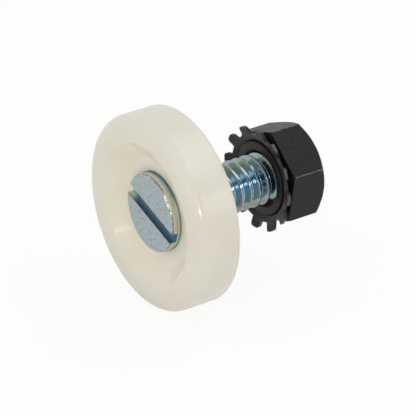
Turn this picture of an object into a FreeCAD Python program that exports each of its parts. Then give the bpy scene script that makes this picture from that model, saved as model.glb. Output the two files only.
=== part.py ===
import FreeCAD, Part
import math
import os

# Drawer roller: a dished nylon roller turns on the shoulder of a slotted screw, whose threaded stud
# carries a hexagon nut with a captive toothed washer. All lengths are in millimetres, angles in degrees.
# The spin axis is +Y, from the slotted head to the nut, and +Z is up. The origin lies on the axis in
# the end face of the shoulder, where the screw seats on the drawer or cabinet side.

# Roller
roller_diameter = 23.8
roller_width = 5.4
front_edge_radius = 1.2
back_edge_radius = 0.2
dish_depth = 2.1
dish_mouth_radius = 8.85
dish_floor_radius = 6.6
dish_mouth_rounding = 1.0
dish_floor_rounding = 1.5
bore_chamfer = 0.25

# Slotted head of the screw
head_diameter = 9.4
head_height = 1.72
head_edge_radius = 0.22
head_recess = 0.88
collar_diameter = 9.52
collar_height = 0.85
collar_chamfer = 0.12
slot_width = 1.45
slot_depth = 0.82
slot_angle = -18.6

# Shoulder, plain neck and threaded stud of the screw
shoulder_diameter = 7.94
shoulder_edge_chamfer = 0.12
shoulder_proud = 0.5
neck_length = 2.0
neck_root_chamfer = 0.15
neck_edge_chamfer = 0.15
undercut_length = 1.37
stud_length = 16.0
tip_chamfer = 0.8
thread_diameter = 6.35
thread_pitch = 1.27
thread_flank_angle = 30.0
first_groove = 2.9

# Hexagon nut with its swaged boss
nut_across_flats = 10.9
nut_height = 4.7
stud_recess = 0.2
nut_corner_angle = 20.5
nut_front_face_radius = 6.05
nut_back_face_radius = 5.45
nut_chamfer_angle = 38.0
nut_countersink_radius = 3.6
boss_length = 0.95
boss_radius = 4.2
boss_lip_overhang = 0.35
boss_lip_length = 0.18
boss_lip_rounding = 0.15

# Toothed washer, dished towards the head and captive between the boss lip and the hexagon
washer_thickness = 0.43
washer_setback = 0.15
washer_root_radius = 5.45
washer_dish_angle = 20.0
tooth_count = 12
first_tooth_angle = -2.0
tooth_tip_radius = 6.48
tooth_root_width = 1.65
tooth_tip_width = 1.4
tooth_thickness = 0.4
tooth_twist = -4.0
tooth_corner_radius = 0.45
tooth_embed = 0.15

# Clearances between pieces
bore_clearance = 0.06
thrust_clearance = 0.1
counterbore_clearance = 0.08
crest_clearance = 0.04
flank_clearance = 0.06
washer_radial_clearance = 0.2

# Places along the axis
roller_back = -shoulder_proud
roller_front = roller_back - roller_width
dish_floor = roller_front + dish_depth
head_face = roller_front + head_recess
head_underside = head_face + head_height
collar_front = head_underside - collar_height
thrust_face = head_underside + thrust_clearance
nut_back = stud_length + stud_recess
nut_front = nut_back - nut_height
boss_face = nut_front - boss_length
lip_back = boss_face + boss_lip_length
thread_start = neck_length + undercut_length

# Radii across the axis
bore_radius = shoulder_diameter / 2 + bore_clearance
counterbore_radius = collar_diameter / 2 + counterbore_clearance
boss_lip_radius = boss_radius + boss_lip_overhang
washer_hole_radius = boss_radius + washer_radial_clearance
washer_mouth_radius = boss_lip_radius + washer_radial_clearance
nut_corner_radius = nut_across_flats / 2 / math.cos(math.radians(30))

# Thread form: a sharp V cut back at crest and root, ridge and groove equal at the pitch radius
flank_slope = math.tan(math.radians(thread_flank_angle))
sharp_height = thread_pitch / (2 * flank_slope)
nominal_radius = thread_diameter / 2
pitch_radius = nominal_radius - sharp_height * 3 / 8
screw_crest_radius = nominal_radius - crest_clearance
screw_root_radius = nominal_radius - sharp_height * 17 / 24
nut_root_radius = nominal_radius + crest_clearance
nut_crest_radius = nominal_radius - sharp_height * 5 / 8 + crest_clearance
undercut_radius = screw_root_radius - crest_clearance

CENTRE = FreeCAD.Vector(0, 0, 0)
AXIS = FreeCAD.Vector(0, 1, 0)
ACROSS = FreeCAD.Vector(1, 0, 0)


def rounded_outline(corners):
    """Closed outline in the XY plane through corners (x, y, rounding)."""
    points = [FreeCAD.Vector(x, y, 0) for x, y, rounding in corners]
    arcs = []
    for i, here in enumerate(points):
        rounding = corners[i][2]
        back = (points[i - 1] - here).normalize()
        ahead = (points[(i + 1) % len(points)] - here).normalize()
        half_angle = back.getAngle(ahead) / 2
        reach = rounding / math.tan(half_angle)
        depth = rounding / math.sin(half_angle) - rounding
        middle = here + (back + ahead).normalize() * depth
        arcs.append((here + back * reach, middle, here + ahead * reach))
    edges = []
    for i, (start, middle, end) in enumerate(arcs):
        if corners[i][2] > 0:
            edges.append(Part.Arc(start, middle, end).toShape())
        following = arcs[(i + 1) % len(arcs)][0]
        edges.append(Part.LineSegment(end, following).toShape())
    return Part.Wire(edges)


def turned(corners):
    """Solid of revolution about the Y axis from corners (radius, y, rounding)."""
    return Part.Face(rounded_outline(corners)).revolve(CENTRE, AXIS, 360)


def groove_width(radius):
    """Width of the screw's thread groove along the axis at a radius."""
    return thread_pitch / 2 + 2 * (radius - pitch_radius) * flank_slope


def ridge_width(radius):
    """Width of the screw's thread ridge along the axis at a radius."""
    return thread_pitch - groove_width(radius)


def helical_bar(inner_radius, inner_width, outer_radius, outer_width, start, end):
    """Right-hand helical bar about the Y axis with a four-sided section, wound at the thread's pitch."""
    corners = [(inner_radius, -inner_width / 2), (outer_radius, -outer_width / 2),
               (outer_radius, outer_width / 2), (inner_radius, inner_width / 2)]
    points = [FreeCAD.Vector(radius, 0, height) for radius, height in corners]
    section = Part.makePolygon(points + points[:1])
    helix = Part.makeLongHelix(thread_pitch, end - start, pitch_radius, 0)
    bar = Part.Wire(helix.Edges).makePipeShell([section], True, True)
    bar.rotate(CENTRE, ACROSS, -90)
    bar.translate(FreeCAD.Vector(0, start, 0))
    return bar


def make_roller():
    """Dished roller with a counterbore for the head and a running bore for the shoulder."""
    outer = roller_diameter / 2
    return turned([
        (bore_radius, thrust_face, 0),
        (counterbore_radius, thrust_face, 0),
        (counterbore_radius, dish_floor, 0),
        (dish_floor_radius, dish_floor, dish_floor_rounding),
        (dish_mouth_radius, roller_front, dish_mouth_rounding),
        (outer, roller_front, front_edge_radius),
        (outer, roller_back, back_edge_radius),
        (bore_radius + bore_chamfer, roller_back, 0),
        (bore_radius, roller_back - bore_chamfer, 0),
    ])


def make_shoulder_screw():
    """Slotted head on a collar, shoulder, plain neck and rolled thread, all one piece."""
    shoulder = shoulder_diameter / 2
    blank = turned([
        (0, head_face, 0),
        (head_diameter / 2, head_face, head_edge_radius),
        (head_diameter / 2, collar_front, 0),
        (collar_diameter / 2 - collar_chamfer, collar_front, 0),
        (collar_diameter / 2, collar_front + collar_chamfer, 0),
        (collar_diameter / 2, head_underside, 0),
        (shoulder, head_underside, 0),
        (shoulder, -shoulder_edge_chamfer, 0),
        (shoulder - shoulder_edge_chamfer, 0, 0),
        (nominal_radius + neck_root_chamfer, 0, 0),
        (nominal_radius, neck_root_chamfer, 0),
        (nominal_radius, neck_length - neck_edge_chamfer, 0),
        (nominal_radius - neck_edge_chamfer, neck_length, 0),
        (undercut_radius, neck_length, 0),
        (undercut_radius, thread_start, 0),
        (screw_crest_radius, thread_start + screw_crest_radius - undercut_radius, 0),
        (screw_crest_radius, stud_length - tip_chamfer, 0),
        (screw_crest_radius - tip_chamfer, stud_length, 0),
        (0, stud_length, 0),
    ])
    groove = helical_bar(screw_root_radius, groove_width(screw_root_radius),
                         nut_root_radius, groove_width(nut_root_radius),
                         first_groove, stud_length + thread_pitch)
    slot = Part.makeBox(collar_diameter, slot_depth * 2, slot_width,
                        FreeCAD.Vector(-collar_diameter / 2, head_face - slot_depth, -slot_width / 2))
    slot.rotate(CENTRE, AXIS, -slot_angle)
    return blank.cut(groove).cut(slot)


def make_hex_nut():
    """Chamfered hexagon with a lipped boss in front and a right-hand internal thread."""
    slope = math.tan(math.radians(nut_chamfer_angle))
    front_rise = (nut_corner_radius - nut_front_face_radius) * slope
    back_rise = (nut_corner_radius - nut_back_face_radius) * slope
    corners = []
    for k in range(7):
        angle = math.radians(nut_corner_angle + 60 * k)
        corners.append(FreeCAD.Vector(nut_corner_radius * math.cos(angle), nut_front,
                                      nut_corner_radius * math.sin(angle)))
    prism = Part.Face(Part.makePolygon(corners)).extrude(AXIS * nut_height)
    envelope = turned([
        (0, nut_front, 0),
        (nut_front_face_radius, nut_front, 0),
        (nut_corner_radius, nut_front + front_rise, 0),
        (nut_corner_radius, nut_back - back_rise, 0),
        (nut_back_face_radius, nut_back, 0),
        (0, nut_back, 0),
    ])
    boss = turned([
        (0, boss_face, 0),
        (boss_lip_radius, boss_face, boss_lip_rounding),
        (boss_lip_radius, lip_back, 0),
        (boss_radius, lip_back, 0),
        (boss_radius, nut_front + boss_lip_length, 0),
        (0, nut_front + boss_lip_length, 0),
    ])
    sink = nut_countersink_radius - nut_crest_radius
    hole = turned([
        (0, boss_face - sink, 0),
        (nut_countersink_radius + sink, boss_face - sink, 0),
        (nut_crest_radius, boss_face + sink, 0),
        (nut_crest_radius, nut_back - sink, 0),
        (nut_countersink_radius + sink, nut_back + sink, 0),
        (0, nut_back + sink, 0),
    ])
    whole_turns = math.floor((boss_face - first_groove) / thread_pitch) - 1
    first_ridge = first_groove + thread_pitch / 2
    groove = helical_bar(screw_root_radius, ridge_width(screw_root_radius) + 2 * flank_clearance,
                         nut_root_radius, ridge_width(nut_root_radius) + 2 * flank_clearance,
                         first_ridge + whole_turns * thread_pitch, nut_back + thread_pitch)
    return prism.common(envelope).fuse(boss).cut(hole).cut(groove)


def washer_front(radius):
    """Place along the axis of the dished washer's front surface at a radius."""
    rise = (radius - washer_mouth_radius) * math.tan(math.radians(washer_dish_angle))
    return boss_face + washer_setback - rise


def make_tooth():
    """One tooth along +X: a tapering tongue, twisted about its own length, with a rounded tip."""
    def section(radius, width, twist):
        turn = math.radians(twist)
        along = FreeCAD.Vector(0, -math.sin(turn), math.cos(turn)) * (width / 2)
        through = FreeCAD.Vector(0, math.cos(turn), math.sin(turn)) * (tooth_thickness / 2)
        middle = FreeCAD.Vector(radius, washer_front(radius) + washer_thickness / 2, 0)
        corners = [middle - along - through, middle + along - through,
                   middle + along + through, middle - along + through, middle - along - through]
        return Part.makePolygon(corners)

    root = section(washer_root_radius - tooth_embed, tooth_root_width, 0)
    tip = section(tooth_tip_radius, tooth_tip_width, tooth_twist)
    tongue = Part.makeLoft([root, tip], True, True)
    corners = [edge for edge in tongue.Edges
               if edge.BoundBox.XMin > tooth_tip_radius - tooth_embed
               and edge.Length < (tooth_thickness + tooth_tip_width) / 2]
    return tongue.makeFillet(tooth_corner_radius, corners)


def make_lock_washer():
    """Dished ring with twisted external teeth, its hole flared at 45 degrees around the boss lip."""
    mouth_front = washer_front(washer_mouth_radius)
    root_front = washer_front(washer_root_radius)
    ring = turned([
        (washer_hole_radius, mouth_front + washer_mouth_radius - washer_hole_radius, 0),
        (washer_mouth_radius, mouth_front, 0),
        (washer_root_radius, root_front, 0),
        (washer_root_radius, root_front + washer_thickness, 0),
        (washer_hole_radius, washer_front(washer_hole_radius) + washer_thickness, 0),
    ])
    teeth = []
    for k in range(tooth_count):
        tooth = make_tooth()
        tooth.rotate(CENTRE, AXIS, -first_tooth_angle - k * 360 / tooth_count)
        teeth.append(tooth)
    return ring.multiFuse(teeth)


pieces = {
    "roller": make_roller(),
    "shoulder_screw": make_shoulder_screw(),
    "hex_nut": make_hex_nut(),
    "lock_washer": make_lock_washer(),
}

os.makedirs("parts", exist_ok=True)
for name, shape in pieces.items():
    shape.exportStep("parts/" + name + ".step")
    print(name, "solids", len(shape.Solids), "valid", shape.isValid(), "volume", round(shape.Volume, 3))
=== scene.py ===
import math

import bmesh
import bpy
from mathutils import Matrix, Vector


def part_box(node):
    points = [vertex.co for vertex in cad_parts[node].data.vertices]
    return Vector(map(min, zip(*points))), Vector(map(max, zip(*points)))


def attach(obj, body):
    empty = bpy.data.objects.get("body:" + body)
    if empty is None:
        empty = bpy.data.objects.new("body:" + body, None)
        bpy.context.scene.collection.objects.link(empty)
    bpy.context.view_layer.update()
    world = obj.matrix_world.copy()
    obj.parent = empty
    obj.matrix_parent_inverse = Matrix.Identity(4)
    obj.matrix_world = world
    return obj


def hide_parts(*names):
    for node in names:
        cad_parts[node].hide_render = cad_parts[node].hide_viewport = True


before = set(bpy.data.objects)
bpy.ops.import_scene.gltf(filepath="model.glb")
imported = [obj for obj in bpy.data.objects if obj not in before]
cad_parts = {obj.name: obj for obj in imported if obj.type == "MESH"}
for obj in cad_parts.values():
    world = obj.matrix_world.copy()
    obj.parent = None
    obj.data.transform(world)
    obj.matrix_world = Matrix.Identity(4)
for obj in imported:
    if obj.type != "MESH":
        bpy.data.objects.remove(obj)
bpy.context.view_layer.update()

MM = 0.001
AXIS = Vector((0, 1, 0))

# Distances within which corners are merged, or taken to lie on a cut
NEAR = 0.001 * MM
SAME_PLACE = 0.0005 * MM
ON_CUT = 0.0001 * MM

# Places read from the solids
ROLLER_LOW, ROLLER_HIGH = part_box("roller")
SCREW_LOW, SCREW_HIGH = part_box("shoulder_screw")
NUT_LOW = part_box("hex_nut")[0]

# Roller: its tread, and where the dish's painted bounce light, warmer and brighter, begins and is full
TREAD_RADIUS = ROLLER_HIGH.x
TREAD_ONSET = 0.15 * MM
DISH_BOUNCE_START_RADIUS = 9.3 * MM
DISH_BOUNCE_FULL_RADIUS = 7.6 * MM

# Slotted head of the screw, along the spin axis and away from it
HEAD_FACE_Y = SCREW_LOW.y
HEAD_RADIUS = 4.70 * MM
HEAD_ROUNDING = 0.22 * MM
FACE_EDGE_Y = HEAD_FACE_Y + 0.27 * MM
FACE_EASE = 0.03 * MM
COLLAR_FRONT_Y = HEAD_FACE_Y + 0.87 * MM
COLLAR_RADIUS = SCREW_HIGH.x
COLLAR_CHAMFER = 0.12 * MM
HEAD_BACK_Y = HEAD_FACE_Y + 1.72 * MM
SLOT_WIDTH = 1.45 * MM
SLOT_HALF = SLOT_WIDTH / 2
SLOT_FLOOR_Y = HEAD_FACE_Y + 0.82 * MM
SLOT_ANGLE = math.radians(-18.6)
SLOT_ACROSS = Vector((-math.sin(SLOT_ANGLE), 0, math.cos(SLOT_ANGLE)))
SLOT_ALONG = Vector((math.cos(SLOT_ANGLE), 0, math.sin(SLOT_ANGLE)))
SLOT_EDGE = 0.05 * MM
# Direction of the painted highlight on the head's rounding
HIGHLIGHT_ANGLE = math.radians(38)
PIT_SPACING = 0.60 * MM

# Shoulder, neck and thread of the screw
SHOULDER_RADIUS = 3.97 * MM
SHOULDER_CHAMFER = 0.12 * MM
SHOULDER_END_Y = 0.0
NECK_RADIUS = 3.175 * MM
NECK_CHAMFER = 0.15 * MM
NECK_END_Y = 2.0 * MM
UNDERCUT_RADIUS = 2.356 * MM
UNDERCUT_MIDDLE_Y = 2.6 * MM
THREAD_START_Y = 3.37 * MM
STUD_END_Y = SCREW_HIGH.y
TIP_CHAMFER = 0.8 * MM
PITCH = 1.27 * MM
CREST_RADIUS = 3.135 * MM
PITCH_RADIUS = 2.7626 * MM
ROOT_RADIUS = 2.396 * MM
FLANK_SLOPE = math.tan(math.radians(30))
FIRST_GROOVE_Y = 2.9 * MM
TURN_START_Y = FIRST_GROOVE_Y - PITCH
CREST_ROUNDING = 0.045 * MM
ROOT_ROUNDING = 0.035 * MM
THREAD_STEPS = 144
TURNED_STEPS = 192
CREASE_ANGLE = math.radians(32)
FLAT_FACE_ANGLE = math.radians(0.1)

# Nut and washer
NUT_FRONT_Y = NUT_LOW.y + 0.95 * MM
NUT_BORE_REACH = 3.7 * MM
NUT_ROUNDING = 0.10 * MM
TOOTH_TIP_RADIUS = 6.48 * MM
WASHER_ROUNDING = 0.07 * MM
SHARP_EDGE_ANGLE = math.radians(28)
FLAT_FACET_ANGLE = math.radians(0.5)

# Cosine of the angle between a surface and its rounded form, on a flat face and on a sharp edge
FLAT_COSINE = 0.995
EDGE_COSINE = 0.85

# Camera, at the photograph's angle
VIEW_AZIMUTH = math.radians(55.335)
VIEW_ELEVATION = math.radians(27.953)
VIEW_DISTANCE = 300 * MM
VIEW_RIGHT = 2.648 * MM
VIEW_UP = -0.718 * MM
LENS_MM = 222.6

# Studio, with an unlit side that darkens the middle of the thread
LAMP_DISTANCE = 350 * MM
SHADE_SIDE = Vector((0.55, 0.50, 0.67))
FLOOR_REACH = 4.0
FLOOR_WHITE_SHARE = 0.92


class Nodes:
    """A node tree with short ways to add, fill and wire its nodes."""

    def __init__(self, tree):
        self.tree = tree

    def add(self, kind, sockets, **settings):
        """Adds a node, sets it, and links or fills its sockets by name or number."""
        node = self.tree.nodes.new(kind)
        for name, value in settings.items():
            setattr(node, name, value)
        for name, value in sockets.items():
            if isinstance(value, bpy.types.NodeSocket):
                self.tree.links.new(value, node.inputs[name])
            else:
                node.inputs[name].default_value = value
        return node

    def calculate(self, operation, first, second=0.0):
        """One number worked out from two."""
        return self.add("ShaderNodeMath", {0: first, 1: second}, operation=operation).outputs[0]

    def both(self, first, second):
        """Two shares multiplied: 1 only where both are 1."""
        return self.calculate("MULTIPLY", first, second)

    def step(self, value, low, high):
        """0 below low, 1 above high, eased between; low may be the larger."""
        sockets = {"Value": value, "From Min": low, "From Max": high}
        return self.add("ShaderNodeMapRange", sockets, interpolation_type="SMOOTHSTEP").outputs[0]

    def between(self, value, low, high, ease):
        """1 from low to high, eased to 0 at both ends."""
        above = self.step(value, low - ease, low + ease)
        below = self.step(value, high + ease, high - ease)
        return self.both(above, below)

    def spread(self, share, low, high):
        """Spreads a share from 0 to 1 evenly over the range from low to high."""
        return self.add("ShaderNodeMapRange", {"Value": share, "To Min": low, "To Max": high}).outputs[0]

    def mix(self, share, first, second):
        """Goes from the first colour to the second as the share goes from 0 to 1."""
        return self.add("ShaderNodeMix", {0: share, 6: first, 7: second}, data_type="RGBA").outputs[2]

    def blend(self, share, first, second):
        """Goes from the first number to the second as the share goes from 0 to 1."""
        return self.add("ShaderNodeMix", {0: share, 2: first, 3: second}, data_type="FLOAT").outputs[0]

    def noise(self, where, grain, detail=3.0, rough=0.5):
        """Soft random patches, about as large as the grain."""
        sockets = {"Vector": where, "Scale": 1.0 / grain, "Detail": detail, "Roughness": rough}
        return self.add("ShaderNodeTexNoise", sockets).outputs["Fac"]

    def dot(self, first, second):
        """How far the first vector reaches along the second."""
        node = self.add("ShaderNodeVectorMath", {0: first, 1: second}, operation="DOT_PRODUCT")
        return node.outputs["Value"]

    def rays(self):
        """Which kind of light ray meets the surface."""
        return self.add("ShaderNodeLightPath", {}).outputs

    def seen(self):
        """1 for the camera and for what metal or glass shows, 0 for the light that falls on things."""
        rays = self.rays()
        mirrored = self.calculate("MAXIMUM", rays["Is Glossy Ray"], rays["Is Transmission Ray"])
        return self.calculate("MAXIMUM", rays["Is Camera Ray"], mirrored)

    def place(self, where):
        """Distance along the spin axis, distance from it, and the place seen end on."""
        parts = self.add("ShaderNodeSeparateXYZ", {"Vector": where}).outputs
        end_on = self.add("ShaderNodeCombineXYZ", {"X": parts["X"], "Y": parts["Z"]}).outputs[0]
        radius = self.add("ShaderNodeVectorMath", {0: end_on}, operation="LENGTH").outputs["Value"]
        return parts["Y"], radius, end_on


class Finish(Nodes):
    """A material with its shader and the piece's own coordinates."""

    def __init__(self, name):
        self.material = bpy.data.materials.new(name)
        self.material.use_nodes = True
        super().__init__(self.material.node_tree)
        self.shader = self.tree.nodes["Principled BSDF"]
        self.where = self.add("ShaderNodeTexCoord", {}).outputs["Object"]
        self.along, self.radius, self.end_on = self.place(self.where)

    def wire(self, **sockets):
        """Links the shader's sockets, named with _ for a space."""
        for name, value in sockets.items():
            self.tree.links.new(value, self.shader.inputs[name.replace("_", " ")])

    def fix(self, **sockets):
        """Sets the shader's sockets to constants, named with _ for a space."""
        for name, value in sockets.items():
            self.shader.inputs[name.replace("_", " ")].default_value = value

    def edge(self, reach):
        """How near a sharp edge is, from 0 on a flat face to 1 on the edge."""
        rounded = self.add("ShaderNodeBevel", {"Radius": reach}, samples=6).outputs[0]
        plain = self.add("ShaderNodeNewGeometry", {}).outputs["Normal"]
        return self.step(self.dot(rounded, plain), FLAT_COSINE, EDGE_COSINE)

    def bump(self, height, depth, strength):
        """Raises the surface by the height, where 1 stands for the depth."""
        sockets = {"Height": height, "Distance": depth, "Strength": strength}
        self.wire(Normal=self.add("ShaderNodeBump", sockets).outputs[0])


def colour(red, green, blue):
    """An opaque colour from its linear shares."""
    return (red, green, blue, 1.0)


# Colours of the nylon, each with the deeper one of its clouds; the dish's pair is warmer and brighter,
# as painted bounce light
RIM_CREAM = colour(0.660, 0.634, 0.553)
RIM_CLOUD = colour(0.640, 0.605, 0.515)
DISH_BOUNCE_CREAM = colour(0.720, 0.680, 0.567)
DISH_BOUNCE_CLOUD = colour(0.695, 0.650, 0.520)


def natural_nylon():
    """Moulded cream nylon: cloudy, faintly see-through, pebbled on the tread, and painted warmer and
    brighter in the dish as bounce light.
    """
    finish = Finish("natural_nylon")
    cloud = finish.step(finish.noise(finish.where, grain=7 * MM, detail=2.0), 0.3, 0.7)
    rim = finish.mix(cloud, RIM_CREAM, RIM_CLOUD)
    # Painted bounce light: the dish's colours are warmer and brighter than the rim's
    dish_bounce = finish.mix(cloud, DISH_BOUNCE_CREAM, DISH_BOUNCE_CLOUD)
    bounce_share = finish.step(finish.radius, DISH_BOUNCE_START_RADIUS, DISH_BOUNCE_FULL_RADIUS)
    finish.wire(Base_Color=finish.mix(bounce_share, rim, dish_bounce))
    finish.shader.subsurface_method = "BURLEY"
    finish.fix(Subsurface_Weight=0.8, Subsurface_Radius=(1.0, 0.95, 0.85), Subsurface_Scale=5.0 * MM)
    finish.fix(IOR=1.53)

    tread = finish.step(finish.radius, TREAD_RADIUS - TREAD_ONSET, TREAD_RADIUS)
    grain = finish.noise(finish.where, grain=0.25 * MM)
    glossy = finish.spread(grain, 0.15, 0.17)
    satin = finish.spread(grain, 0.25, 0.27)
    finish.wire(Roughness=finish.blend(tread, glossy, satin))
    pebble = finish.noise(finish.where, grain=0.05 * MM, detail=1.0)
    finish.bump(finish.both(pebble, tread), depth=0.012 * MM, strength=1.0)
    return finish.material


# Colours of the plating on the shank and thread, with a painted reflection in green and painted shade in
# the dull tone below
SHANK_GREY = colour(0.37, 0.45, 0.48)
THREAD_BLUE = colour(0.245, 0.395, 0.505)
THREAD_REFLECTED_GREEN = colour(0.28, 0.355, 0.335)
THREAD_UNDERSIDE_SHADE = colour(0.19, 0.235, 0.20)
CREST_GREY = colour(0.345, 0.335, 0.335)

# Colours of the plating on the head, with wear and pits, painted shade in the slot, painted reflections
# at the slot's end, on the collar and on the side, a painted dark reflection on the edge and a painted
# highlight
# Slot: blue plating darkened as painted shade, and a painted reflection of the nylon at its open end
SLOT_WALL_SHADED_BLUE = colour(0.08, 0.21, 0.32)
SLOT_FLOOR_SHADED_BLUE = colour(0.095, 0.225, 0.335)
SLOT_END_REFLECTION = colour(0.46, 0.58, 0.50)
# Painted reflections on the collar, and painted shade on its top
COLLAR_NYLON_REFLECTION = colour(0.45, 0.49, 0.41)
COLLAR_LOWER_REFLECTION = colour(0.36, 0.52, 0.56)
COLLAR_TOP_SHADE = colour(0.14, 0.26, 0.34)
# Painted reflections on the head's side: the cream nylon as tan, turning green towards the collar
SIDE_NYLON_REFLECTION = colour(0.76, 0.71, 0.59)
SIDE_LOWER_REFLECTION = colour(0.52, 0.59, 0.50)
FACE_GREY = colour(0.33, 0.40, 0.415)
FACE_PALE = colour(0.42, 0.47, 0.485)
FACE_BLUSH = colour(0.42, 0.43, 0.46)
EDGE_RUBBED = colour(0.60, 0.53, 0.50)
# Painted highlight, near white, on a short stretch of the head's rounding
PAINTED_HIGHLIGHT_WHITE = colour(0.93, 0.94, 0.95)
# Dark of the pits, also used for a painted dark reflection along the head's edge
PIT_AND_REFLECTION_DARK = colour(0.10, 0.13, 0.14)


class ZincPlate(Finish):
    """Bluish zinc plate, with the places on the screw where its colour and polish change, and where
    shade, reflections and a highlight are painted into its colour.
    """

    def __init__(self):
        super().__init__("zinc_plate")
        self.film = self.noise(self.where, grain=1.4 * MM)
        self.fine = self.noise(self.where, grain=0.22 * MM, detail=4.0)
        self.height = self.dot(self.where, (0, 0, 1))
        self.off_middle = self.calculate("ABSOLUTE", self.dot(self.where, SLOT_ACROSS))
        self.off_slot = self.step(self.off_middle, SLOT_HALF - SLOT_EDGE, SLOT_HALF + SLOT_EDGE)
        self.collar = self.between(self.along, COLLAR_FRONT_Y, HEAD_BACK_Y, 0.02 * MM)
        in_front = self.step(self.along, FACE_EDGE_Y + FACE_EASE, FACE_EDGE_Y - FACE_EASE)
        self.face = self.both(in_front, self.off_slot)

    def shank_and_thread(self):
        """Grey shank and stud end; the thread blue in a wavy band, painted green beside it as a
        reflection and painted dull below as shade.
        """
        # Painted reflections and shade, set by height: blue in a wavy band, green beside it, dull
        # towards the underside
        off_reflection_band = self.calculate("ABSOLUTE", self.calculate("SUBTRACT", self.height, 0.8 * MM))
        off_reflection_band = self.calculate("ADD", off_reflection_band, self.spread(self.film, -1.5 * MM, 1.5 * MM))
        tone = self.mix(self.step(off_reflection_band, 0.4 * MM, 2.4 * MM), THREAD_BLUE, THREAD_REFLECTED_GREEN)
        tone = self.mix(self.step(self.height, -0.8 * MM, -2.4 * MM), tone, THREAD_UNDERSIDE_SHADE)
        on_stud = self.step(self.along, NECK_END_Y, NECK_END_Y + 0.3 * MM)
        before_end = self.step(self.along, STUD_END_Y, STUD_END_Y - 0.03 * MM)
        tone = self.mix(self.both(on_stud, before_end), SHANK_GREY, tone)
        crest = self.both(on_stud, self.step(self.radius, 0.990 * CREST_RADIUS, CREST_RADIUS))
        return self.mix(crest, tone, CREST_GREY)

    def slot(self, tone):
        """Blue walls and floor darkened as painted shade, and a painted reflection in pale green where
        one end runs out.
        """
        in_depth = self.step(self.along, SLOT_FLOOR_Y + 0.03 * MM, SLOT_FLOOR_Y)
        in_width = self.step(self.off_middle, SLOT_HALF + SLOT_EDGE, SLOT_HALF - SLOT_EDGE)
        floor = self.step(self.along, SLOT_FLOOR_Y - 0.10 * MM, SLOT_FLOOR_Y)
        # Painted shade in the slot, and a painted reflection at its open end
        slot_shade_and_reflection = self.mix(floor, SLOT_WALL_SHADED_BLUE, SLOT_FLOOR_SHADED_BLUE)
        lengthwise = self.dot(self.where, SLOT_ALONG)
        reflected_end = self.step(lengthwise, -0.70 * HEAD_RADIUS, -0.95 * HEAD_RADIUS)
        slot_shade_and_reflection = self.mix(reflected_end, slot_shade_and_reflection, SLOT_END_REFLECTION)
        return self.mix(self.both(in_depth, in_width), tone, slot_shade_and_reflection)

    def collar_and_side(self, tone):
        """Collar green, blue below and dark on top, as painted reflections with painted shade on top;
        the head's side tan as a painted reflection of the nylon, turning green at the collar.
        """
        # Painted reflections and shade on the collar, set by height
        collar_reflection_and_shade = self.mix(self.step(self.height, -0.5 * MM, -2.5 * MM), COLLAR_NYLON_REFLECTION, COLLAR_LOWER_REFLECTION)
        collar_reflection_and_shade = self.mix(self.step(self.height, 2.2 * MM, 3.8 * MM), collar_reflection_and_shade, COLLAR_TOP_SHADE)
        tone = self.mix(self.collar, tone, collar_reflection_and_shade)
        # Painted reflection of the nylon on the head's side
        side = self.between(self.along, FACE_EDGE_Y, COLLAR_FRONT_Y - 0.02 * MM, FACE_EASE)
        side_reflection_sweep = self.step(self.along, HEAD_FACE_Y + 0.35 * MM, COLLAR_FRONT_Y)
        return self.mix(self.both(side, self.off_slot), tone, self.mix(side_reflection_sweep, SIDE_NYLON_REFLECTION, SIDE_LOWER_REFLECTION))

    def head_face(self, tone):
        """Mottled satin grey, with rubbed edges and a painted highlight on the rounding."""
        satin = self.mix(self.step(self.fine, 0.35, 0.65), FACE_GREY, FACE_PALE)
        blush = self.step(self.noise(self.where, grain=0.5 * MM), 0.50, 0.72)
        tone = self.mix(self.face, tone, self.mix(blush, satin, FACE_BLUSH))
        near_face = self.step(self.along, SLOT_FLOOR_Y, FACE_EDGE_Y + FACE_EASE)
        tone = self.mix(self.both(self.edge(0.14 * MM), near_face), tone, EDGE_RUBBED)
        # Painted highlight: a short stretch of the head's rounding made near white
        outer = self.step(self.radius, HEAD_RADIUS - 0.28 * MM, HEAD_RADIUS - 0.20 * MM)
        towards_highlight = self.dot(self.where, (math.cos(HIGHLIGHT_ANGLE), 0, math.sin(HIGHLIGHT_ANGLE)))
        painted_highlight = self.step(towards_highlight, 0.950 * HEAD_RADIUS, 0.970 * HEAD_RADIUS)
        return self.mix(self.both(self.both(self.face, outer), painted_highlight), tone, PAINTED_HIGHLIGHT_WHITE)

    def pits_and_dark_reflection(self):
        """Dark specks spread over the face, and a broken painted dark reflection along its edge."""
        sockets = {"Vector": self.end_on, "Scale": 1.0 / PIT_SPACING}
        cells = self.add("ShaderNodeTexVoronoi", sockets, voronoi_dimensions="2D").outputs
        chosen = self.add("ShaderNodeSeparateColor", {"Color": cells["Color"]}).outputs[0]
        speck = self.both(self.step(cells["Distance"], 0.20, 0.10), self.step(chosen, 0.45, 0.70))
        # Painted reflection: a broken dark line along the head's rounding
        wander = self.calculate("ADD", self.radius, self.spread(self.fine, -0.06 * MM, 0.06 * MM))
        edge = self.between(wander, HEAD_RADIUS - 0.07 * MM, HEAD_RADIUS - 0.02 * MM, 0.02 * MM)
        dark_edge_reflection = self.both(edge, self.step(self.noise(self.where, grain=0.7 * MM), 0.48, 0.54))
        return self.both(self.calculate("MAXIMUM", speck, dark_edge_reflection), self.face)


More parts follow.
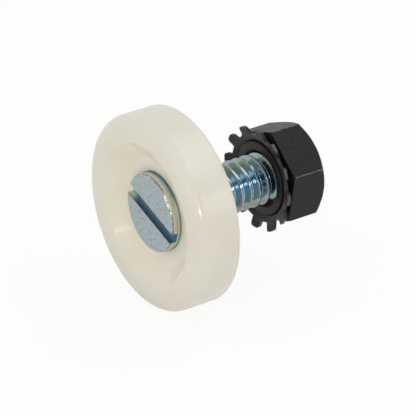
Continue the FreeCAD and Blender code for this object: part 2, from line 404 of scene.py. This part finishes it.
def zinc_plate():
    """Bright on the thread, satin and pitted on the head's face, with painted shade and reflection in
    the slot and painted reflection on the side.
    """
    finish = ZincPlate()
    tone = finish.shank_and_thread()
    tone = finish.slot(tone)
    tone = finish.collar_and_side(tone)
    tone = finish.head_face(tone)
    pit_and_dark_reflection = finish.pits_and_dark_reflection()
    finish.wire(Base_Color=finish.mix(pit_and_dark_reflection, tone, PIT_AND_REFLECTION_DARK))
    finish.fix(Metallic=1.0)

    inner = finish.step(finish.radius, HEAD_RADIUS - 0.18 * MM, HEAD_RADIUS - 0.26 * MM)
    matt = finish.both(finish.face, inner)
    bright = finish.spread(finish.film, 0.12, 0.24)
    satin = finish.spread(finish.fine, 0.34, 0.50)
    rough = finish.blend(matt, bright, satin)
    finish.wire(Roughness=finish.blend(finish.collar, rough, 0.42))
    grain = finish.both(finish.both(finish.fine, matt), 0.35)
    finish.bump(finish.calculate("SUBTRACT", grain, pit_and_dark_reflection), depth=0.02 * MM, strength=0.6)
    return finish.material


# Colours of the blackened steel, each with the paler one of its grain
WASHER_BLACK = colour(0.011, 0.0095, 0.0085)
WASHER_GRAIN = colour(0.026, 0.023, 0.021)
# Tooth tips: worn grey, also a painted sheen where they catch the light
TOOTH_TIP_WEAR_AND_SHEEN = colour(0.045, 0.043, 0.041)
TOOTH_TIP_WEAR_AND_SHEEN_GRAIN = colour(0.085, 0.082, 0.078)
NUT_BLACK = colour(0.003, 0.003, 0.003)
NUT_GRAIN = colour(0.020, 0.0195, 0.019)
BOSS_BROWN = colour(0.010, 0.0075, 0.0060)
BOSS_GRAIN = colour(0.024, 0.0185, 0.0150)

# Colours where the black is worn through
WASHER_WORN = colour(0.11, 0.105, 0.10)
NUT_WORN = colour(0.30, 0.29, 0.285)


def black_oxide(finish, tone, worn, reach, exposed, specular):
    """Blackened steel with a fine grain, rubbed paler along its exposed edges."""
    patch = finish.step(finish.noise(finish.where, grain=0.9 * MM), 0.30, 0.60)
    rubbed = finish.both(finish.both(finish.edge(reach), patch), exposed)
    finish.wire(Base_Color=finish.mix(rubbed, tone, worn))
    grain = finish.noise(finish.where, grain=0.12 * MM, detail=4.0, rough=0.6)
    finish.wire(Roughness=finish.spread(grain, 0.36, 0.56))
    finish.fix(Specular_IOR_Level=specular)
    finish.bump(grain, depth=0.010 * MM, strength=0.6)
    return finish.material


def black_washer():
    """Warm black spring steel, with the tips of its teeth rubbed grey, which is also a painted sheen."""
    finish = Finish("black_washer")
    grain = finish.step(finish.noise(finish.where, grain=0.20 * MM, detail=4.0), 0.35, 0.75)
    body = finish.mix(grain, WASHER_BLACK, WASHER_GRAIN)
    # Painted sheen on the tooth tips, as well as wear
    rubbed = finish.mix(grain, TOOTH_TIP_WEAR_AND_SHEEN, TOOTH_TIP_WEAR_AND_SHEEN_GRAIN)
    tip = finish.step(finish.radius, TOOTH_TIP_RADIUS - 0.12 * MM, TOOTH_TIP_RADIUS - 0.02 * MM)
    tone = finish.mix(tip, body, rubbed)
    return black_oxide(finish, tone, WASHER_WORN, reach=0.14 * MM, exposed=1.0, specular=0.30)


def black_nut():
    """Black phosphated steel, warmer on the boss, with pale worn corners."""
    finish = Finish("black_nut")
    grain = finish.step(finish.noise(finish.where, grain=0.16 * MM, detail=4.0, rough=0.6), 0.35, 0.75)
    hexagon = finish.mix(grain, NUT_BLACK, NUT_GRAIN)
    boss = finish.mix(grain, BOSS_BROWN, BOSS_GRAIN)
    on_boss = finish.step(finish.along, NUT_FRONT_Y, NUT_FRONT_Y - 0.1 * MM)
    tone = finish.mix(on_boss, hexagon, boss)
    exposed = finish.step(finish.along, NUT_FRONT_Y + 0.05 * MM, NUT_FRONT_Y + 0.40 * MM)
    return black_oxide(finish, tone, NUT_WORN, reach=0.26 * MM, exposed=exposed, specular=0.22)


def dress(node_name, material):
    """Gives a solid its finish."""
    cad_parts[node_name].material_slots[0].material = material


def draw_line(bm, points):
    """An open line of edges through (radius, along) points, in the plane of the spin axis and +X."""
    line = [bm.verts.new((radius, along, 0.0)) for radius, along in points]
    for pair in zip(line, line[1:]):
        bm.edges.new(pair)
    return line


def round_corner(bm, corner, reach, segments):
    """Rounds one corner of a drawn line."""
    bmesh.ops.bevel(bm, geom=[corner], offset=reach, affect="VERTICES",
                    segments=segments, profile=0.5, material=-1)


def turn_shank(bm):
    """Turns the head, collar, shoulder and neck, down to an open end in the undercut."""
    line = draw_line(bm, [
        (0.0, HEAD_FACE_Y),
        (HEAD_RADIUS, HEAD_FACE_Y),
        (HEAD_RADIUS, COLLAR_FRONT_Y),
        (COLLAR_RADIUS - COLLAR_CHAMFER, COLLAR_FRONT_Y),
        (COLLAR_RADIUS, COLLAR_FRONT_Y + COLLAR_CHAMFER),
        (COLLAR_RADIUS, HEAD_BACK_Y),
        (SHOULDER_RADIUS, HEAD_BACK_Y),
        (SHOULDER_RADIUS, SHOULDER_END_Y - SHOULDER_CHAMFER),
        (SHOULDER_RADIUS - SHOULDER_CHAMFER, SHOULDER_END_Y),
        (NECK_RADIUS + NECK_CHAMFER, SHOULDER_END_Y),
        (NECK_RADIUS, SHOULDER_END_Y + NECK_CHAMFER),
        (NECK_RADIUS, NECK_END_Y - NECK_CHAMFER),
        (NECK_RADIUS - NECK_CHAMFER, NECK_END_Y),
        (UNDERCUT_RADIUS, NECK_END_Y),
        (UNDERCUT_RADIUS, UNDERCUT_MIDDLE_Y),
    ])
    round_corner(bm, line[1], HEAD_ROUNDING, segments=5)
    bmesh.ops.spin(bm, geom=bm.verts[:] + bm.edges[:], cent=(0, 0, 0), axis=AXIS,
                   angle=math.tau, steps=TURNED_STEPS, use_merge=True)
    bmesh.ops.remove_doubles(bm, verts=bm.verts[:], dist=NEAR)


def head_faces(bm):
    """Faces of the head in front of its collar."""
    return [face for face in bm.faces if face.calc_center_median().y < COLLAR_FRONT_Y - NEAR]


def cut_head(bm, place, normal):
    """Divides the head's faces along a plane, without removing any."""
    faces = head_faces(bm)
    parts = set(faces)
    for face in faces:
        parts.update(face.edges)
        parts.update(face.verts)
    bmesh.ops.bisect_plane(bm, geom=list(parts), dist=SAME_PLACE, plane_co=place, plane_no=normal)


def lies_on(edge, normal, distance):
    """Whether an edge lies in the plane across normal, at that distance from the origin."""
    return all(abs(vert.co.dot(normal) - distance) < NEAR for vert in edge.verts)


def cut_slot(bm):
    """Cuts the driving slot across the head, and closes it with its walls and floor."""
    for side in (-1, 1):
        cut_head(bm, SLOT_ACROSS * (side * SLOT_HALF), SLOT_ACROSS)
    cut_head(bm, AXIS * SLOT_FLOOR_Y, AXIS)
    waste = []
    for face in head_faces(bm):
        middle = face.calc_center_median()
        if middle.y < SLOT_FLOOR_Y and abs(middle.dot(SLOT_ACROSS)) < SLOT_HALF:
            waste.append(face)
    bmesh.ops.delete(bm, geom=waste, context="FACES")

    rim = [edge for edge in bm.edges if edge.is_boundary and edge.verts[0].co.y < COLLAR_FRONT_Y]
    floor_rim = [edge for edge in rim if lies_on(edge, AXIS, SLOT_FLOOR_Y)]
    for side in (-1, 1):
        wall_rim = [edge for edge in rim if lies_on(edge, SLOT_ACROSS, side * SLOT_HALF)]
        corners = [vert for edge in wall_rim for vert in edge.verts]
        foot = bm.edges.new([vert for vert in corners if abs(vert.co.y - SLOT_FLOOR_Y) < NEAR])
        floor_rim.append(foot)
        bmesh.ops.edgeloop_fill(bm, edges=wall_rim + [foot])
    bmesh.ops.edgeloop_fill(bm, edges=floor_rim)


def break_slot_edges(bm):
    """Joins the facets of the head's face, and breaks the two long edges of the slot in it."""
    verts = [vert for vert in bm.verts if abs(vert.co.y - HEAD_FACE_Y) < NEAR]
    edges = [edge for edge in bm.edges if lies_on(edge, AXIS, HEAD_FACE_Y)]
    bmesh.ops.dissolve_limit(bm, angle_limit=FLAT_FACE_ANGLE, verts=verts, edges=edges)
    outline = [edge for edge in bm.edges if lies_on(edge, AXIS, HEAD_FACE_Y)]
    mouth = [edge for edge in outline if edge.calc_length() > HEAD_RADIUS]
    bmesh.ops.bevel(bm, geom=mouth, offset=SLOT_EDGE, affect="EDGES",
                    segments=2, profile=0.5, material=-1)


def wind_turn(bm):
    """Winds one turn of the thread, from the middle of a groove to the middle of the next."""
    root_half = PITCH / 4 - (PITCH_RADIUS - ROOT_RADIUS) * FLANK_SLOPE
    crest_half = PITCH / 4 + (CREST_RADIUS - PITCH_RADIUS) * FLANK_SLOPE
    turn_end = TURN_START_Y + PITCH
    line = draw_line(bm, [
        (ROOT_RADIUS, TURN_START_Y),
        (ROOT_RADIUS, TURN_START_Y + root_half),
        (CREST_RADIUS, TURN_START_Y + crest_half),
        (CREST_RADIUS, turn_end - crest_half),
        (ROOT_RADIUS, turn_end - root_half),
        (ROOT_RADIUS, turn_end),
    ])
    roundings = (ROOT_ROUNDING, CREST_ROUNDING, CREST_ROUNDING, ROOT_ROUNDING)
    for corner, reach in zip(line[1:-1], roundings):
        round_corner(bm, corner, reach, segments=4)
    flanks = [edge for edge in bm.edges if edge.calc_length() > PITCH / 4]
    bmesh.ops.subdivide_edges(bm, edges=flanks, cuts=2)
    bmesh.ops.spin(bm, geom=bm.verts[:] + bm.edges[:], cent=(0, 0, 0), axis=AXIS, angle=math.tau,
                   dvec=AXIS * PITCH / THREAD_STEPS, steps=THREAD_STEPS)


def stack_turns(bm):
    """Repeats the one turn along the stud and joins the turns."""
    one_turn = bm.verts[:] + bm.edges[:] + bm.faces[:]
    for turn in range(1, math.ceil((STUD_END_Y - TURN_START_Y) / PITCH)):
        copy = bmesh.ops.duplicate(bm, geom=one_turn)["geom"]
        verts = [part for part in copy if isinstance(part, bmesh.types.BMVert)]
        bmesh.ops.translate(bm, verts=verts, vec=AXIS * (turn * PITCH))
    bmesh.ops.remove_doubles(bm, verts=bm.verts[:], dist=NEAR)


def trim_thread(bm):
    """Cuts the thread to length, and tapers it towards the undercut and the stud's tip."""
    for along, below in ((THREAD_START_Y, True), (STUD_END_Y, False)):
        bmesh.ops.bisect_plane(bm, geom=bm.verts[:] + bm.edges[:] + bm.faces[:], dist=ON_CUT,
                               plane_co=AXIS * along, plane_no=AXIS,
                               clear_inner=below, clear_outer=not below)
    for vert in bm.verts:
        radius = math.hypot(vert.co.x, vert.co.z)
        run_out = UNDERCUT_RADIUS + vert.co.y - THREAD_START_Y
        tip = CREST_RADIUS - TIP_CHAMFER + STUD_END_Y - vert.co.y
        share = min(radius, run_out, tip) / radius
        vert.co = (vert.co.x * share, vert.co.y, vert.co.z * share)


def open_edges(bm, low, high):
    """Edges with a face on one side only, between two places along the axis."""
    return [edge for edge in bm.edges if edge.is_boundary and low < edge.verts[0].co.y < high]


def add_thread(bm):
    """Winds the thread, joins it to the turned shank in the undercut and closes the stud's end."""
    thread = bmesh.new()
    wind_turn(thread)
    stack_turns(thread)
    trim_thread(thread)
    mesh = bpy.data.meshes.new("shoulder_screw_thread")
    thread.to_mesh(mesh)
    thread.free()
    bm.from_mesh(mesh)
    bpy.data.meshes.remove(mesh)
    middle = (UNDERCUT_MIDDLE_Y + THREAD_START_Y) / 2
    ends = open_edges(bm, NECK_END_Y, middle) + open_edges(bm, middle, THREAD_START_Y + PITCH)
    bmesh.ops.bridge_loops(bm, edges=ends)
    stud_end = open_edges(bm, STUD_END_Y - TIP_CHAMFER, STUD_END_Y + TIP_CHAMFER)
    bmesh.ops.edgeloop_fill(bm, edges=stud_end)


def make_screw(material):
    """The screw as one closed piece: slotted head, shoulder, neck and wound thread."""
    bm = bmesh.new()
    turn_shank(bm)
    cut_slot(bm)
    break_slot_edges(bm)
    add_thread(bm)
    bmesh.ops.remove_doubles(bm, verts=bm.verts[:], dist=SAME_PLACE)
    bmesh.ops.recalc_face_normals(bm, faces=bm.faces[:])
    for face in bm.faces:
        face.smooth = True
    for edge in bm.edges:
        edge.smooth = edge.is_boundary or edge.calc_face_angle() < CREASE_ANGLE
    mesh = bpy.data.meshes.new("slotted_screw")
    bm.to_mesh(mesh)
    bm.free()
    mesh.materials.append(material)
    screw = bpy.data.objects.new("slotted_screw", mesh)
    bpy.context.scene.collection.objects.link(screw)
    screw.modifiers.new("even_shading", "WEIGHTED_NORMAL").keep_sharp = True
    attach(screw, "shoulder_screw")
    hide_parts("shoulder_screw")


def joined_facets():
    """Joins a solid's facets, shades them smooth and marks the outer sharp edges for rounding."""
    group = bpy.data.node_groups.new("joined_facets", "GeometryNodeTree")
    for way in ("INPUT", "OUTPUT"):
        group.interface.new_socket("Geometry", in_out=way, socket_type="NodeSocketGeometry")
    nodes = Nodes(group)
    solid = nodes.add("NodeGroupInput", {}).outputs[0]
    joined = nodes.add("GeometryNodeMergeByDistance", {0: solid, "Distance": NEAR}).outputs[0]
    bare = nodes.add("GeometryNodeRemoveAttribute", {0: joined, "Name": "custom_normal"}).outputs[0]
    even = {0: bare, "Shade Smooth": True}
    smooth = nodes.add("GeometryNodeSetShadeSmooth", even, domain="FACE").outputs[0]
    where = nodes.add("GeometryNodeInputPosition", {}).outputs[0]
    outside = nodes.calculate("GREATER_THAN", nodes.place(where)[1], NUT_BORE_REACH)
    angle = nodes.add("GeometryNodeInputMeshEdgeAngle", {}).outputs["Unsigned Angle"]
    sharp = nodes.calculate("GREATER_THAN", angle, SHARP_EDGE_ANGLE)
    weight = {0: smooth, "Name": "bevel_weight_edge", "Value": nodes.both(sharp, outside)}
    store = nodes.add("GeometryNodeStoreNamedAttribute", weight, data_type="FLOAT", domain="EDGE")
    crease = {0: store.outputs[0], "Selection": sharp, "Shade Smooth": False}
    creased = nodes.add("GeometryNodeSetShadeSmooth", crease, domain="EDGE").outputs[0]
    nodes.add("NodeGroupOutput", {0: creased})
    return group


def soften(node_name, group, width):
    """Rounds a solid's sharp outer edges by the given width."""
    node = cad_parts[node_name]
    node.modifiers.new("joined_facets", "NODES").node_group = group
    flat = node.modifiers.new("flat_faces", "DECIMATE")
    flat.decimate_type = "DISSOLVE"
    flat.angle_limit = FLAT_FACET_ANGLE
    rounding = node.modifiers.new("rounded_edges", "BEVEL")
    rounding.limit_method = "WEIGHT"
    rounding.width = width
    rounding.segments = 2
    rounding.profile = 0.5
    rounding.harden_normals = True
    node.modifiers.new("merged_corners", "WELD").merge_threshold = SAME_PLACE


# Colours of the studio
REAR_LIGHT = colour(0.82, 0.82, 0.82)
FRONT_LIGHT = colour(1.02, 1.02, 1.02)
WHITE = colour(1.0, 1.0, 1.0)
SHADE = colour(0.27, 0.30, 0.32)
FLOOR_PAINT = colour(0.86, 0.85, 0.81)


def direction(azimuth, elevation):
    """Unit vector from the object towards a viewer at these angles."""
    level = math.cos(elevation)
    return Vector((math.sin(azimuth) * level, -math.cos(azimuth) * level, math.sin(elevation)))


def place_camera():
    """Stands the camera at the photograph's angle, with the object framed as it is there."""
    back = direction(VIEW_AZIMUTH, VIEW_ELEVATION)
    right = Vector((math.cos(VIEW_AZIMUTH), math.sin(VIEW_AZIMUTH), 0.0))
    up = back.cross(right)
    camera = bpy.data.objects.new("camera", bpy.data.cameras.new("camera"))
    bpy.context.scene.collection.objects.link(camera)
    camera.data.lens = LENS_MM
    camera.data.clip_start = 1 * MM
    turn = Matrix((right, up, back)).transposed().to_4x4()
    spot = back * VIEW_DISTANCE + right * VIEW_RIGHT + up * VIEW_UP
    camera.matrix_world = Matrix.Translation(spot) @ turn
    bpy.context.scene.camera = camera


def area_lamp(name, towards, width, height, watts):
    """Hangs a lamp of this size in metres in the given direction, facing the object."""
    lamp = bpy.data.objects.new(name, bpy.data.lights.new(name, "AREA"))
    bpy.context.scene.collection.objects.link(lamp)
    lamp.data.shape = "RECTANGLE"
    lamp.data.size = width
    lamp.data.size_y = height
    lamp.data.energy = watts
    away = Vector(towards).normalized()
    turn = away.to_track_quat("Z", "Y").to_matrix().to_4x4()
    lamp.matrix_world = Matrix.Translation(away * LAMP_DISTANCE) @ turn


def light_studio():
    """Hangs the lamps, and gives the white surround an unlit side that the camera itself doesn't see."""
    area_lamp("top_softbox", towards=(0.195, 0.50, 0.844), width=0.34, height=0.10, watts=0.28)
    area_lamp("back_strip", towards=(0.80, 0.50, 0.33), width=0.03, height=0.04, watts=0.10)
    area_lamp("front_strip", towards=(0.25, -0.91, 0.325), width=0.008, height=0.04, watts=0.012)
    area_lamp("right_softbox", towards=(0.85, -0.45, 0.26), width=0.11, height=0.025, watts=0.16)
    world = bpy.data.worlds.new("studio")
    bpy.context.scene.world = world
    world.use_nodes = True
    nodes = Nodes(world.node_tree)
    look = nodes.add("ShaderNodeTexCoord", {}).outputs["Generated"]
    front = nodes.step(nodes.dot(look, AXIS), 0.1, -0.7)
    lit = nodes.mix(front, REAR_LIGHT, FRONT_LIGHT)
    lit = nodes.mix(nodes.seen(), lit, WHITE)
    unseen = nodes.calculate("SUBTRACT", 1.0, nodes.rays()["Is Camera Ray"])
    shade = nodes.both(nodes.step(nodes.dot(look, SHADE_SIDE), 0.70, 0.90), unseen)
    glow = nodes.mix(shade, lit, SHADE)
    nodes.tree.links.new(glow, nodes.tree.nodes["Background"].inputs["Color"])
    bpy.context.scene.view_settings.view_transform = "Standard"


def white_floor():
    """Pale paint that shows nearly white, and keeps a little of the shadow on it."""
    material = bpy.data.materials.new("white_floor")
    material.use_nodes = True
    nodes = Nodes(material.node_tree)
    nodes.tree.nodes.remove(nodes.tree.nodes["Principled BSDF"])
    paint = nodes.add("ShaderNodeBsdfDiffuse", {"Color": FLOOR_PAINT}).outputs[0]
    white = nodes.add("ShaderNodeEmission", {"Color": WHITE, "Strength": 1.0}).outputs[0]
    share = nodes.both(nodes.seen(), FLOOR_WHITE_SHARE)
    surface = nodes.add("ShaderNodeMixShader", {0: share, 1: paint, 2: white}).outputs[0]
    nodes.tree.links.new(surface, nodes.tree.nodes["Material Output"].inputs["Surface"])
    return material


def lay_floor(material):
    """Lays the floor under the roller's tread."""
    bm = bmesh.new()
    bmesh.ops.create_grid(bm, x_segments=1, y_segments=1, size=FLOOR_REACH,
                          matrix=Matrix.Translation((0, 0, ROLLER_LOW.z)))
    mesh = bpy.data.meshes.new("floor")
    bm.to_mesh(mesh)
    bm.free()
    mesh.materials.append(material)
    floor = bpy.data.objects.new("floor", mesh)
    bpy.context.scene.collection.objects.link(floor)


dress("roller", natural_nylon())
dress("lock_washer", black_washer())
dress("hex_nut", black_nut())
make_screw(zinc_plate())

facets = joined_facets()
soften("lock_washer", facets, WASHER_ROUNDING)
soften("hex_nut", facets, NUT_ROUNDING)

place_camera()
light_studio()
lay_floor(white_floor())
